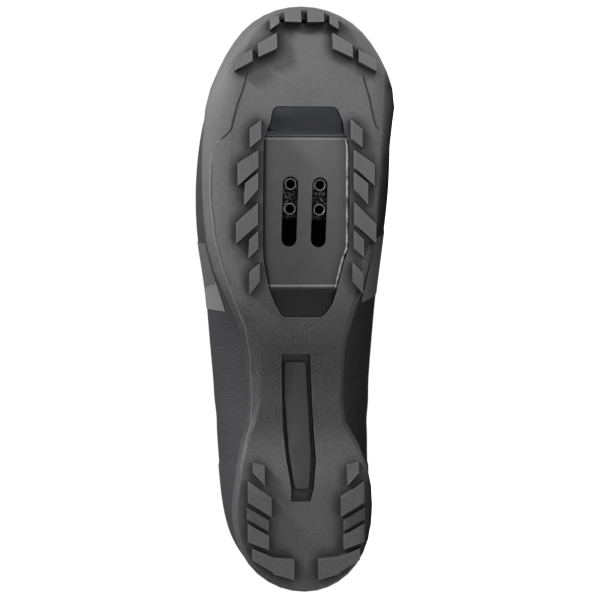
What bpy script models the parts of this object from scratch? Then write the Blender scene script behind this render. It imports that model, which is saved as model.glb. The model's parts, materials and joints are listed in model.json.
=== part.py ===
"""Off-road cycling shoe with a two-bolt cleat sole, a right shoe, lying on its inner side.

The shoe is modelled upright in its own frame: X forward from the back of the heel, Y towards the
inner (medial) side, Z up from the plane of the lug tips. At the end it is laid on its inner side.
Metres, +Z up.
"""
import math

import bmesh
import bpy
from mathutils import Matrix, Vector

# Main sizes of the shoe
LENGTH = 0.281
BALL_WIDTH = 0.0947
INSTEP_HEIGHT = 0.104
HEEL_HEIGHT = 0.098
ANKLE_HEIGHT = 0.080
TOE_HEIGHT = 0.064
WALL = 0.002
GAP = 0.0003

# Sizes of the sole
LUG_HEIGHT = 0.0055
LUG_ROOT = 0.003
LUG_DRAFT = 0.0006
ARCH_RISE = 0.0075
TOE_SPRING = 0.020
HEEL_STACK = 0.025
BALL_STACK = 0.016
TOE_RAND = 0.003
RIB_DEPTH = 0.0008
FEATHER_MARGIN = 0.0025
INSOLE_THICKNESS = 0.004

# Sizes of the cleat fitting
SEAT_HEIGHT = 0.009
SEAT_THICKNESS = 0.003
PLATE_TOP = 0.0152
PLATE_MARGIN = 0.004
BOLT_SPACING = 0.014
BOLT_ROW_SPACING = 0.0117
BOLT_HOLE_RADIUS = 0.0021
SLOT_WIDTH = 0.0072
SLOT_LENGTH = 0.0332
SLOT_LEAN = math.radians(1.7)
SLOT_CENTRE = (0.1808, -0.0004)
NUT_PLATE_THICKNESS = 0.0025
NUT_PLATE_EDGE = 0.0048
RAIL_CLEARANCE = 0.0004
RAIL_DROP = 0.0022

# Sizes of the waist channel and its insert
CHANNEL_DEPTH = 0.003
INSERT_THICKNESS = 0.0018

# Sizes of the vamp and of the soft pieces over the throat
VAMP_CROWN = 0.003
TONGUE_CLEARANCE = 0.0007
TONGUE_THICKNESS = 0.004
TONGUE_CROWN = 0.005
TONGUE_RISE = 0.008
TONGUE_TAPER = 0.26
TONGUE_TUCK_ROWS = 3
TONGUE_TOP_STEP = 16
TONGUE_TOP_ROWS = 3
STRAP_THICKNESS = 0.0016
STRAP_WIDTH = 0.024
STRAP_CROWN = 0.006
STRAP_CLEARANCE = 0.0006
OVERLAY_THICKNESS = 0.0009
OVERLAY_CLEARANCE = 0.0005

# How finely the loops and walls are divided
SIDE_STEPS = 36
WALL_STEPS = 12
ARC_STEPS = 20
CROWN_STEPS = 6
STRAP_STEPS = 3
OVERLAY_STEPS = 4

# Where the sole bends, as shares of the length from the heel
ARCH_START = (0.17, 0.28)
ARCH_END = (0.33, 0.46)
STACK_DROP = (0.36, 0.56)
TOE_BEND = 0.79
RAND_START = 0.80

HALF = BALL_WIDTH / 2

# Outline of the sole: share of the length, then shares of half the ball width
SOLE_OUTLINE = (
    # along, lateral, medial
    (0.00, 0.68, 0.64),
    (0.07, 0.69, 0.65),
    (0.14, 0.725, 0.685),
    (0.19, 0.690, 0.670),
    (0.243, 0.645, 0.575),
    (0.285, 0.574, 0.433),
    (0.32, 0.554, 0.398),
    (0.37, 0.570, 0.403),
    (0.42, 0.615, 0.423),
    (0.472, 0.705, 0.504),
    (0.523, 0.860, 0.600),
    (0.574, 0.965, 0.675),
    (0.625, 1.008, 0.746),
    (0.676, 1.028, 0.796),
    (0.727, 1.033, 0.836),
    (0.778, 1.020, 0.870),
    (0.829, 0.985, 0.905),
    (0.880, 0.915, 0.880),
    (0.930, 0.885, 0.868),
    (0.970, 0.895, 0.890),
    (1.00, 0.90, 0.90),
)

# How far the tread's edge lies inside the outline, as shares of half the ball width
SOLE_BEVEL = (
    # along, lateral, medial
    (0.00, 0.05, 0.05),
    (0.25, 0.05, 0.05),
    (0.36, 0.15, 0.06),
    (0.45, 0.16, 0.08),
    (0.53, 0.22, 0.07),
    (0.62, 0.25, 0.08),
    (0.73, 0.27, 0.14),
    (0.83, 0.28, 0.22),
    (0.91, 0.17, 0.15),
    (1.00, 0.06, 0.06),
)

# Side of the sole from the tread up: share of the bevel, ribs cut in, share of the side's height
SOLE_SIDE = (
    # bevel, rib, height
    (1.00, 0, 0.00),
    (0.58, 0, 0.10),
    (0.26, 0, 0.28),
    (0.08, 0, 0.46),
    (0.00, 0, 0.60),
    (0.00, 1, 0.65),
    (0.00, 0, 0.71),
    (0.00, 1, 0.78),
    (0.00, 0, 0.84),
    (0.00, 0, 1.00),
)

# Lugs of both sides, mirrored: across as shares of half the ball width, along as shares of the
# length. Each lug has an inner end and an outer end, and each end a front and a back.
LUGS = (
    # inner, outer, inner front, inner back, outer front, outer back, height
    (0.020, 0.172, 0.9905, 0.9735, 0.9895, 0.9742, 1.0),
    (0.242, 0.353, 0.9800, 0.9614, 0.9730, 0.9504, 1.0),
    (0.272, 0.484, 0.9478, 0.9164, 0.9283, 0.9011, 1.0),
    (0.520, 0.715, 0.9190, 0.8943, 0.9020, 0.8782, 1.0),
    (0.440, 0.569, 0.7983, 0.7635, 0.7830, 0.7482, 0.9),
    (0.470, 0.690, 0.7474, 0.7142, 0.7244, 0.6845, 1.0),
    (0.470, 0.625, 0.7100, 0.6786, 0.6922, 0.6522, 1.0),
    (0.474, 0.705, 0.6590, 0.6191, 0.6242, 0.5885, 1.0),
    (0.470, 0.584, 0.6123, 0.5792, 0.5979, 0.5639, 1.0),
    (0.455, 0.574, 0.5588, 0.5240, 0.5418, 0.5036, 0.9),
    (0.403, 0.539, 0.2190, 0.1833, 0.2241, 0.2029, 0.9),
    (0.338, 0.589, 0.1663, 0.1306, 0.1935, 0.1544, 1.0),
    (0.363, 0.599, 0.1290, 0.1052, 0.1493, 0.1256, 0.6),
    (0.363, 0.589, 0.1026, 0.0754, 0.1222, 0.0882, 1.0),
    (0.315, 0.544, 0.0661, 0.0372, 0.0814, 0.0618, 1.0),
    (0.111, 0.343, 0.0627, 0.0245, 0.0661, 0.0350, 1.0),
)

# Window in the tread round the cleat seat, with the front and rear ramps at its ends
WINDOW = (
    # along, lateral, medial
    (0.4662, 0.220, 0.150),
    (0.4700, 0.245, 0.190),
    (0.4891, 0.312, 0.272),
    (0.5150, 0.373, 0.322),
    (0.5622, 0.423, 0.393),
    (0.5826, 0.428, 0.440),
    (0.6675, 0.428, 0.443),
    (0.7525, 0.423, 0.443),
    (0.7678, 0.418, 0.423),
    (0.7745, 0.403, 0.393),
    (0.7949, 0.353, 0.373),
    (0.8068, 0.343, 0.343),
    (0.8160, 0.325, 0.320),
    (0.8204, 0.290, 0.280),
)
REAR_RAMP = (0.4662, 0.5150)
FRONT_RAMP = (0.8204, 0.7745)

# Channel in the waist and the insert that lies in it; a side across the centre line is negative
CHANNEL = (
    # along, lateral, medial
    (0.1561, 0.151, 0.050),
    (0.1765, 0.146, 0.081),
    (0.2258, 0.191, 0.111),
    (0.2768, 0.222, 0.091),
    (0.4042, 0.242, 0.050),
)
INSERT = (
    # along, lateral, medial
    (0.1765, 0.095, 0.020),
    (0.1833, 0.116, 0.040),
    (0.2428, 0.165, 0.062),
    (0.3277, 0.205, 0.035),
    (0.3855, 0.207, 0.008),
    (0.3906, 0.190, -0.008),
)

# Sections of the upper. The feather edge lies on the sole. The belly is the widest line, the
# shoulder is where the wall turns in, and the rim is the edge of the throat and collar.
# Across: shares of half the ball width.
SECTIONS = (
    # along, belly lateral, belly medial, shoulder lateral, shoulder medial, rim lateral, rim medial
    (0.00, 0.700, 0.660, 0.62, 0.60, 0.60, 0.58),
    (0.07, 0.720, 0.650, 0.64, 0.62, 0.60, 0.58),
    (0.15, 0.810, 0.700, 0.67, 0.64, 0.61, 0.59),
    (0.25, 0.862, 0.703, 0.72, 0.66, 0.60, 0.58),
    (0.34, 0.890, 0.705, 0.76, 0.66, 0.57, 0.55),
    (0.43, 0.940, 0.743, 0.80, 0.68, 0.47, 0.43),
    (0.52, 0.992, 0.788, 0.84, 0.72, 0.36, 0.33),
    (0.60, 1.070, 0.850, 0.88, 0.78, 0.30, 0.28),
    (0.68, 1.092, 0.905, 0.90, 0.82, 0.27, 0.25),
    (0.77, 1.046, 0.922, 0.86, 0.82, 0.25, 0.24),
    (0.85, 0.940, 0.900, 0.76, 0.76, 0.24, 0.23),
    (0.93, 0.880, 0.865, 0.72, 0.72, 0.23, 0.22),
    (1.00, 0.890, 0.890, 0.72, 0.72, 0.22, 0.22),
)

# Heights of the belly, shoulder and rim, as shares of the named heights at their places
BELLY_RISE = 0.26
VAMP_PLACE = 0.45
VAMP_START = (0.35, 0.75)
SHOULDER_HEIGHTS = (
    # along, share of the height between the toe, instep and heel
    (0.00, 0.72),
    (0.15, 0.66),
    (0.35, 0.62),
    (0.55, 0.66),
    (0.75, 0.56),
    (0.90, 0.525),
    (1.00, 0.56),
)
RIM_HEIGHTS = (
    # along, share of the heel height, of the ankle height, of the instep height, of the toe height
    (0.00, 1.00, 0.00, 0.00, 0.00),
    (0.07, 0.96, 0.00, 0.00, 0.00),
    (0.15, 0.45, 0.57, 0.00, 0.00),
    (0.25, 0.00, 1.00, 0.00, 0.00),
    (0.36, 0.00, 0.80, 0.21, 0.00),
    (0.47, 0.00, 0.00, 0.93, 0.00),
    (0.54, 0.00, 0.00, 1.00, 0.00),
    (0.68, 0.00, 0.00, 0.95, 0.00),
    (0.84, 0.00, 0.00, 0.60, 0.38),
    (1.00, 0.00, 0.00, 0.00, 1.17),
)

# Where each line of the upper begins at the heel and ends at the toe, and how long its ends round
# off: shares of the length
LINE_ENDS = {
    # line: back, front, heel rounding, toe rounding, crowding of its points towards the toe
    "belly": (0.003, 0.995, 0.11, 0.17, 1.0),
    "shoulder": (0.014, 0.950, 0.14, 0.19, 1.0),
    "rim": (0.028, 0.620, 0.22, 0.07, 1.6),
}
SOLE_ROUNDING = (0.11, 0.17)

# Straps over the throat and film overlays on the sides: places along are shares of the length, and
# rows are steps of the wall, down from the rim for a strap and up from the feather edge for a film
STRAPS = (
    # name, middle at the rim, middle at the ends, lateral rows, medial rows
    ("strap_upper", 0.400, 0.425, 6, 5),
    ("strap_lower", 0.510, 0.560, 6, 5),
)
OVERLAYS = (
    # name, side, back edge low, back edge high, front edge low, front edge high, first row, last row
    ("overlay_lateral", -1, 0.475, 0.485, 0.590, 0.600, 1, 5),
    ("overlay_medial", 1, 0.490, 0.520, 0.600, 0.625, 1, 5),
)

# Plain finishes: colour, roughness, metallic
FINISHES = {
    "rubber": ((0.055, 0.056, 0.058, 1), 0.75, 0.0),
    "nylon": ((0.050, 0.050, 0.052, 1), 0.45, 0.0),
    "steel": ((0.30, 0.30, 0.31, 1), 0.35, 1.0),
    "insert": ((0.045, 0.045, 0.047, 1), 0.55, 0.0),
    "foam": ((0.09, 0.09, 0.095, 1), 0.9, 0.0),
    "upper_shell": ((0.035, 0.035, 0.037, 1), 0.6, 0.0),
    "overlay_film": ((0.13, 0.13, 0.135, 1), 0.5, 0.0),
    "lining": ((0.03, 0.03, 0.032, 1), 0.9, 0.0),
    "webbing": ((0.03, 0.03, 0.032, 1), 0.8, 0.0),
}


def clear_scene():
    """Remove whatever the scene holds, and make the two collections."""
    for item in list(bpy.data.objects):
        bpy.data.objects.remove(item)
    for name in ("cycling_shoe", "cutters"):
        bpy.context.scene.collection.children.link(bpy.data.collections.new(name))


def finish(name):
    """A plain Principled material."""
    if name in bpy.data.materials:
        return bpy.data.materials[name]
    colour, roughness, metallic = FINISHES[name]
    material = bpy.data.materials.new(name)
    material.use_nodes = True
    shader = material.node_tree.nodes["Principled BSDF"]
    shader.inputs["Base Color"].default_value = colour
    shader.inputs["Roughness"].default_value = roughness
    shader.inputs["Metallic"].default_value = metallic
    return material


def ease(low, high, value):
    """0 below low, 1 above high, and smooth between."""
    share = min(max((value - low) / (high - low), 0.0), 1.0)
    return share * share * (3 - 2 * share)


def smooth(rows, at, column):
    """Value of a table's column at a share along, on a smooth curve through the rows."""
    if at <= rows[0][0]:
        return rows[0][column]
    if at >= rows[-1][0]:
        return rows[-1][column]
    index = max(i for i, row in enumerate(rows) if row[0] <= at)

    def slope(i):
        low, high = max(i - 1, 0), min(i + 1, len(rows) - 1)
        return (rows[high][column] - rows[low][column]) / (rows[high][0] - rows[low][0])

    here, there = rows[index], rows[index + 1]
    span = there[0] - here[0]
    t = (at - here[0]) / span
    return (
        here[column] * (1 + 2 * t) * (1 - t) ** 2
        + there[column] * t * t * (3 - 2 * t)
        + slope(index) * span * t * (1 - t) ** 2
        - slope(index + 1) * span * t * t * (1 - t)
    )


def rounding(share, heel, toe):
    """1 in the middle, falling to 0 along a quarter ellipse at each end."""
    back = min(share / heel, 1.0)
    front = min((1 - share) / toe, 1.0)
    return math.sqrt(max(0.0, 1 - (1 - back) ** 2)) * math.sqrt(max(0.0, 1 - (1 - front) ** 2))


def tip_height(x):
    """Height of the lug tips: flat, then rising in the toe spring."""
    beyond = max(0.0, (x / LENGTH - TOE_BEND) / (1 - TOE_BEND))
    return TOE_SPRING * beyond**2


def tread_height(x):
    """Height of the tread's surface between the lugs."""
    arch = ease(*ARCH_START, x / LENGTH) * (1 - ease(*ARCH_END, x / LENGTH))
    return tip_height(x) + LUG_HEIGHT + ARCH_RISE * arch


def sole_top(x):
    """Height of the sole's upper face, on which the upper is lasted."""
    drop = ease(*STACK_DROP, x / LENGTH)
    rand = ease(RAND_START, 1.0, x / LENGTH)
    return tip_height(x) + HEEL_STACK + (BALL_STACK - HEEL_STACK) * drop + TOE_RAND * rand


def loop_shares():
    """Shares along a closed loop and the side of each: heel, lateral side, toe, medial side."""
    steps = [(1 - math.cos(math.pi * i / SIDE_STEPS)) / 2 for i in range(SIDE_STEPS + 1)]
    return [(s, -1) for s in steps] + [(s, 1) for s in steps[-2:0:-1]]


def sole_loop():
    """Outline of the sole, as (x, y) pairs."""
    points = []
    for share, side in loop_shares():
        width = smooth(SOLE_OUTLINE, share, 1 if side < 0 else 2)
        points.append((share * LENGTH, side * width * HALF * rounding(share, *SOLE_ROUNDING)))
    return points


def inset_loop(points, distance):
    """Move each point of a loop inwards by distance(share, side)."""
    moved = []
    for i, (share, side) in enumerate(loop_shares()):
        before, after = points[i - 1], points[(i + 1) % len(points)]
        along = Vector((after[0] - before[0], after[1] - before[1])).normalized()
        inward = Vector((-along.y, along.x)) * distance(share, side)
        moved.append((points[i][0] + inward.x, points[i][1] + inward.y))
    return moved


def add_object(name, mesh_builder, finish_name, collection="cycling_shoe"):
    """Turn a filled bmesh into a named object with its own material."""
    bmesh.ops.recalc_face_normals(mesh_builder, faces=mesh_builder.faces)
    mesh = bpy.data.meshes.new(name)
    mesh_builder.to_mesh(mesh)
    mesh_builder.free()
    item = bpy.data.objects.new(name, mesh)
    bpy.data.collections[collection].objects.link(item)
    if finish_name:
        mesh.materials.append(finish(finish_name))
    if collection == "cutters":
        item.hide_render = True
        item.display_type = "WIRE"
    return item


def add_rings(name, rings, finish_name):
    """Solid through closed rings, from the middle of its underside to the middle of its top."""
    build = bmesh.new()
    loops = [[build.verts.new(point) for point in ring] for ring in rings]
    count = len(loops[0])
    for low, high in zip(loops, loops[1:]):
        for i in range(count):
            j = (i + 1) % count
            build.faces.new((low[i], low[j], high[j], high[i]))
    for loop in (loops[0], loops[-1]):
        for i in range(SIDE_STEPS):
            corners = [loop[i], loop[i + 1], loop[(count - i - 1) % count], loop[(count - i) % count]]
            build.faces.new(dict.fromkeys(corners))
    return add_object(name, build, finish_name)


def add_slab(name, stations, low, high, finish_name=None, collection="cycling_shoe"):
    """Solid between two heights along stations of (x, lateral edge y, medial edge y)."""
    build = bmesh.new()
    rows = []
    for x, lateral, medial in stations:
        corners = ((lateral, low(x)), (medial, low(x)), (medial, high(x)), (lateral, high(x)))
        rows.append([build.verts.new((x, y, z)) for y, z in corners])
    for row, after in zip(rows, rows[1:]):
        for i in range(4):
            j = (i + 1) % 4
            build.faces.new((row[i], row[j], after[j], after[i]))
    build.faces.new(rows[0])
    build.faces.new(rows[-1])
    return add_object(name, build, finish_name, collection)


def add_cylinder(name, radius, low, high, centre, finish_name=None, collection="cutters"):
    """Upright cylinder between two heights."""
    build = bmesh.new()
    bmesh.ops.create_cone(
        build, cap_ends=True, segments=ARC_STEPS, radius1=radius, radius2=radius, depth=high - low
    )
    bmesh.ops.translate(build, verts=build.verts, vec=(*centre, (low + high) / 2))
    return add_object(name, build, finish_name, collection)


def combine(item, other, operation, crossing=False):
    """Boolean of an object with a cutter or a joined form, whose own parts may cross each other."""
    modifier = item.modifiers.new(other.name, "BOOLEAN")
    modifier.use_self = crossing
    modifier.operation = operation
    modifier.object = other
    modifier.solver = "EXACT"


def stations_of(table, grow=0.0, detail=1):
    """Stations in metres from a table of shares, grown outwards by a margin."""
    first, last = table[0][0], table[-1][0]
    stations = []
    shares = []
    for row, after in zip(table, table[1:]):
        shares += [row[0] + (after[0] - row[0]) * k / detail for k in range(detail)]
    for share in shares + [last]:
        near = table[max(i for i, row in enumerate(table) if row[0] <= share + 1e-9)]
        after = table[min(table.index(near) + 1, len(table) - 1)]
        blend = (share - near[0]) / (after[0] - near[0]) if after is not near else 0.0
        lateral = near[1] + (after[1] - near[1]) * blend
        medial = near[2] + (after[2] - near[2]) * blend
        push = grow * (2 * (share - first) / (last - first) - 1)
        stations.append((share * LENGTH + push, -lateral * HALF - grow, medial * HALF + grow))
    return stations


def add_sole():
    """Rubber outsole: a body through rings, its lugs joined on."""
    outline = sole_loop()
    rings = []
    for bevel, rib, height in SOLE_SIDE:

        def inset(share, side):
            return smooth(SOLE_BEVEL, share, 1 if side < 0 else 2) * HALF * bevel + RIB_DEPTH * rib

        ring = []
        for x, y in inset_loop(outline, inset):
            low, high = tread_height(x), sole_top(x)
            ring.append((x, y, low + (high - low) * height))
        rings.append(ring)
    sole = add_rings("outsole", rings, "rubber")
    combine(sole, add_lugs(), "UNION", crossing=True)
    return sole


def add_lugs():
    """All lugs in one cutter-like object: tapered blocks from inside the tread to their tips."""
    build = bmesh.new()
    for inner, outer, inner_front, inner_back, outer_front, outer_back, height in LUGS:
        for side in (-1, 1):
            block = bmesh.ops.create_cube(build, size=2)["verts"]
            middle = LENGTH * (inner_front + inner_back + outer_front + outer_back) / 4
            for corner in block:
                at_outer, at_front, at_root = corner.co.x > 0, corner.co.y > 0, corner.co.z > 0
                across = (outer if at_outer else inner) * HALF
                if at_outer:
                    x = LENGTH * (outer_front if at_front else outer_back)
                else:
                    x = LENGTH * (inner_front if at_front else inner_back)
                if at_root:
                    z = tread_height(x) + LUG_ROOT
                else:
                    z = tread_height(x) - LUG_HEIGHT * height
                    across += LUG_DRAFT * (-1 if at_outer else 1)
                    x += LUG_DRAFT * (-1 if x > middle else 1)
                corner.co = (x, side * across, z)
    return add_object("lugs", build, "rubber", "cutters")


def ramp_height(x):
    """Underside of the cleat plate in the window: flat seat, with a ramp at each end."""
    rear, rear_end = (share * LENGTH for share in REAR_RAMP)
    front, front_end = (share * LENGTH for share in FRONT_RAMP)
    inside = SEAT_HEIGHT + GAP
    if x < rear_end:
        return tread_height(x) + (inside - tread_height(rear)) * (x - rear) / (rear_end - rear)
    if x > front_end:
        return tread_height(x) + (inside - tread_height(front)) * (front - x) / (front - front_end)
    return inside


def add_sole_plate(sole):
    """Nylon plate: a flange on the rubber's ledge, ramps in the window, slots and a nut pocket."""
    window = stations_of(WINDOW)
    through = add_slab("window_cutter", window, lambda x: -GAP, lambda x: HEEL_STACK, None, "cutters")
    ledge = stations_of(WINDOW, PLATE_MARGIN + GAP)
    pocket = add_slab(
        "plate_pocket_cutter", ledge, lambda x: SEAT_HEIGHT - GAP, lambda x: 2 * HEEL_STACK, None, "cutters"
    )
    combine(sole, through, "DIFFERENCE")
    combine(sole, pocket, "DIFFERENCE")

    flange = stations_of(WINDOW, PLATE_MARGIN)
    plate = add_slab("sole_plate", flange, lambda x: SEAT_HEIGHT, lambda x: PLATE_TOP, "nylon")
    inner = stations_of(WINDOW, -GAP, 3)
    for name, (edge, end), reach in (
        ("rear_ramp", REAR_RAMP, 1),
        ("front_ramp", FRONT_RAMP, -1),
    ):
        rows = [row for row in inner if (end * LENGTH - row[0]) * reach > -GAP]
        ramp = add_slab(name, rows, ramp_height, lambda x: SEAT_HEIGHT + SEAT_THICKNESS / 2, None, "cutters")
        combine(plate, ramp, "UNION")
    return plate


def cleat_place(along, across):
    """A place on the cleat fitting, along and across its own leaning axis, in the shoe's frame."""
    turn = Matrix.Rotation(SLOT_LEAN, 2)
    return Vector(SLOT_CENTRE) + turn @ Vector((along, across))


def stadium(length, width, centre_along, centre_across):
    """Points of a slot's outline: two half circles and straight sides."""
    points = []
    straight = (length - width) / 2
    for end in (1, -1):
        for i in range(ARC_STEPS // 2 + 1):
            angle = math.pi * (i / (ARC_STEPS // 2) - 0.5)
            along = centre_along + end * (straight + width / 2 * math.cos(angle))
            across = centre_across + end * width / 2 * math.sin(angle)
            points.append(cleat_place(along, across))
    return points


def add_prism(name, points, low, high, finish_name=None, collection="cutters"):
    """Upright prism over a flat outline."""
    build = bmesh.new()
    face = build.faces.new([build.verts.new((p.x, p.y, low)) for p in points])
    raised = bmesh.ops.extrude_face_region(build, geom=[face])
    top = [part for part in raised["geom"] if isinstance(part, bmesh.types.BMVert)]
    bmesh.ops.translate(build, verts=top, vec=(0, 0, high - low))
    return add_object(name, build, finish_name, collection)


def rectangle(along_low, along_high, half_width):
    """Corners of a rectangle on the cleat fitting's own axis."""
    corners = ((along_low, -1), (along_high, -1), (along_high, 1), (along_low, 1))
    return [cleat_place(along, side * half_width) for along, side in corners]


def add_cleat_nut_plate(plate):
    """Steel nut plate with two threaded rails in the slots, and the slots and pocket it needs."""
    rail_width = SLOT_WIDTH - 2 * RAIL_CLEARANCE
    rail_length = BOLT_ROW_SPACING + rail_width
    front = SLOT_LENGTH / 2 - RAIL_CLEARANCE
    middle = front - rail_length / 2
    half_length = BOLT_ROW_SPACING / 2 + NUT_PLATE_EDGE
    half_width = BOLT_SPACING / 2 + NUT_PLATE_EDGE
    travel = SLOT_LENGTH - rail_length - 2 * RAIL_CLEARANCE
    floor = SEAT_HEIGHT + SEAT_THICKNESS
    low = floor + GAP
    high = low + NUT_PLATE_THICKNESS

    room = rectangle(
        middle - half_length - travel - RAIL_CLEARANCE,
        middle + half_length + RAIL_CLEARANCE,
        half_width + RAIL_CLEARANCE,
    )
    combine(plate, add_prism("nut_pocket_cutter", room, floor, HEEL_STACK), "DIFFERENCE")
    nut = add_prism(
        "cleat_nut_plate",
        rectangle(middle - half_length, middle + half_length, half_width),
        low, high, "steel", "cycling_shoe",
    )
    for side in (-1, 1):
        across = side * BOLT_SPACING / 2
        slot = stadium(SLOT_LENGTH, SLOT_WIDTH, 0, across)
        combine(plate, add_prism(f"slot_cutter_{side}", slot, 0, floor + SEAT_THICKNESS / 2), "DIFFERENCE")
        rail = stadium(rail_length, rail_width, middle, across)
        bottom = floor - RAIL_DROP
        combine(nut, add_prism(f"rail_{side}", rail, bottom, low + NUT_PLATE_THICKNESS / 2), "UNION")
    for side in (-1, 1):
        for row in (-1, 1):
            centre = cleat_place(middle + row * BOLT_ROW_SPACING / 2, side * BOLT_SPACING / 2)
            hole = add_cylinder(f"bolt_hole_{side}_{row}", BOLT_HOLE_RADIUS, 0, HEEL_STACK, centre)
            combine(nut, hole, "DIFFERENCE")
    return nut


def add_arch_insert(sole):
    """Bare inlaid plate in the waist channel."""
    channel = add_slab(
        "channel_cutter", stations_of(CHANNEL, 0.0, 4), lambda x: -GAP,
        lambda x: tread_height(x) + CHANNEL_DEPTH, None, "cutters",
    )
    combine(sole, channel, "DIFFERENCE")
    return add_slab(
        "arch_insert", stations_of(INSERT, 0.0, 4),
        lambda x: tread_height(x) + CHANNEL_DEPTH - GAP - INSERT_THICKNESS,
        lambda x: tread_height(x) + CHANNEL_DEPTH - GAP, "insert",
    )


def add_insole():
    """Foam insole on the sole's upper face, inside the lasted upper."""
    inset = FEATHER_MARGIN + 2 * WALL
    loop = inset_loop(sole_loop(), lambda share, side: inset)
    low = [(x, y, sole_top(x) + GAP) for x, y in loop]
    high = [(x, y, sole_top(x) + GAP + INSOLE_THICKNESS) for x, y in loop]
    return add_rings("insole", [low, high], "foam")


def line_point(line, share, side):
    """Point of the upper's belly, shoulder or rim line."""
    back, front, heel, toe, crowding = LINE_ENDS[line]
    share = 1 - (1 - share) ** crowding
    x = LENGTH * (back + (front - back) * share)
    column = {"belly": 1, "shoulder": 3, "rim": 5}[line] + (0 if side < 0 else 1)
    y = side * HALF * smooth(SECTIONS, share, column) * rounding(share, heel, toe)
    if line == "belly":
        top = sole_top(x)
        return Vector((x, y, top + (INSTEP_HEIGHT - top) * BELLY_RISE * ease(-0.2, 0.25, 1.05 - share)))
    if line == "shoulder":
        return Vector((x, y, INSTEP_HEIGHT * smooth(SHOULDER_HEIGHTS, share, 1)))
    heights = (HEEL_HEIGHT, ANKLE_HEIGHT, INSTEP_HEIGHT, TOE_HEIGHT)
    z = sum(h * smooth(RIM_HEIGHTS, share, i + 1) for i, h in enumerate(heights))
    return Vector((x, y, z))


def through_points(points, t):
    """Point of a smooth curve through a few points, t from 0 to 1."""
    spans = len(points) - 1
    index = min(int(t * spans), spans - 1)
    u = t * spans - index
    here, there = points[index], points[index + 1]
    before = points[index - 1] if index else here * 2 - there
    after = points[index + 2] if index + 2 <= spans else there * 2 - here
    return 0.5 * (
        2 * here + (there - before) * u + (2 * before - 5 * here + 4 * there - after) * u**2
        + (3 * here - before - 3 * there + after) * u**3
    )


def upper_rows():
    """Grid of the upper's outer face: rows from the feather edge to the rim, round the loop."""
    feather = inset_loop(sole_loop(), lambda share, side: FEATHER_MARGIN)
    paths = []
    for (share, side), (x, y) in zip(loop_shares(), feather):
        belly, shoulder, rim = (line_point(line, share, side) for line in LINE_ENDS)
        vamp = shoulder.lerp(rim, VAMP_PLACE)
        vamp.z += VAMP_CROWN * ease(*VAMP_START, share)
        points = [Vector((x, y, sole_top(x) + GAP)), belly, shoulder, vamp, rim]
        paths.append([through_points(points, k / WALL_STEPS) for k in range(WALL_STEPS + 1)])
    return [[path[k] for path in paths] for k in range(WALL_STEPS + 1)]


def grid_normal(rows, k, n):
    """Outward direction of the upper's grid at a row and a place round the loop."""
    count = len(rows[0])
    along = rows[k][(n + 1) % count] - rows[k][n - 1]
    up = rows[min(k + 1, WALL_STEPS)][n] - rows[max(k - 1, 0)][n]
    return along.cross(up).normalized()


def offset_point(rows, k, n, distance):
    """Point of the grid moved outwards by a distance."""
    return rows[k][n] + grid_normal(rows, k, n) * distance


def add_sheet(name, grid, thickness, finish_name, closed=False):
    """Shell from an open grid of points, thickened away from its outer face."""
    build = bmesh.new()
    lines = [[build.verts.new(point) for point in line] for line in grid]
    for line, after in zip(lines, lines[1:]):
        for i in range(len(line) if closed else len(line) - 1):
            j = (i + 1) % len(line)
            build.faces.new((line[i], line[j], after[j], after[i]))
    mesh = bpy.data.meshes.new(name)
    build.to_mesh(mesh)
    build.free()
    item = bpy.data.objects.new(name, mesh)
    bpy.data.collections["cycling_shoe"].objects.link(item)
    mesh.materials.append(finish(finish_name))
    shell = item.modifiers.new("wall", "SOLIDIFY")
    shell.thickness = thickness
    shell.offset = -1
    return item


def add_upper(rows):
    """The lasted upper: one hollow wall, open at the collar and throat and underneath."""
    return add_sheet("upper", rows, WALL, "upper_shell", closed=True)


def crown(lateral, medial, height, count):
    """Points of a bridge that rises between two edges, without its ends."""
    points = []
    for i in range(1, count):
        share = i / count
        point = lateral.lerp(medial, share)
        point.z += height * 4 * share * (1 - share)
        points.append(point)
    return points


def wall_point(rows, k, side, x, distance):
    """Point off one side of the upper's wall, on a row of its grid and at a place along the shoe."""
    count = len(rows[0])
    step = max(i for i in range(SIDE_STEPS) if rows[k][side_index(i, side, count)].x <= x)
    here, there = side_index(step, side, count), side_index(step + 1, side, count)
    share = (x - rows[k][here].x) / (rows[k][there].x - rows[k][here].x)
    near, far = (offset_point(rows, k, n, distance) for n in (here, there))
    return near.lerp(far, share)


def side_index(step, side, count):
    """Place round the loop of a step from the heel along the lateral or medial side."""
    return step if side < 0 else (count - step) % count


def bridge(lateral, medial, height):
    """A line across the throat: up the lateral wall, over the crown, down the medial wall."""
    return lateral[::-1] + crown(lateral[0], medial[0], height, CROWN_STEPS) + medial


def add_tongue(rows):
    """Padded tongue under the throat's edges, standing above the collar."""
    depth = -(WALL + TONGUE_CLEARANCE)
    count = len(rows[0])
    tucks = range(WALL_STEPS, WALL_STEPS - TONGUE_TUCK_ROWS - 1, -1)
    lines = []
    for step in range(SIDE_STEPS - 3, TONGUE_TOP_STEP - 1, -1):
        lateral, medial = (
            [offset_point(rows, k, side_index(step, side, count), depth) for k in tucks]
            for side in (-1, 1)
        )
        lines.append(bridge(lateral, medial, TONGUE_CROWN))
    last, before = lines[-1], lines[-4]
    middle = last[len(last) // 2]
    rise = (middle - before[len(before) // 2]).normalized() * TONGUE_RISE
    for k in range(1, TONGUE_TOP_ROWS + 1):
        lines.append([point.lerp(middle, TONGUE_TAPER * math.sqrt(k)) + rise * k for point in last])
    return add_sheet("tongue", lines, TONGUE_THICKNESS, "lining")


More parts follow.
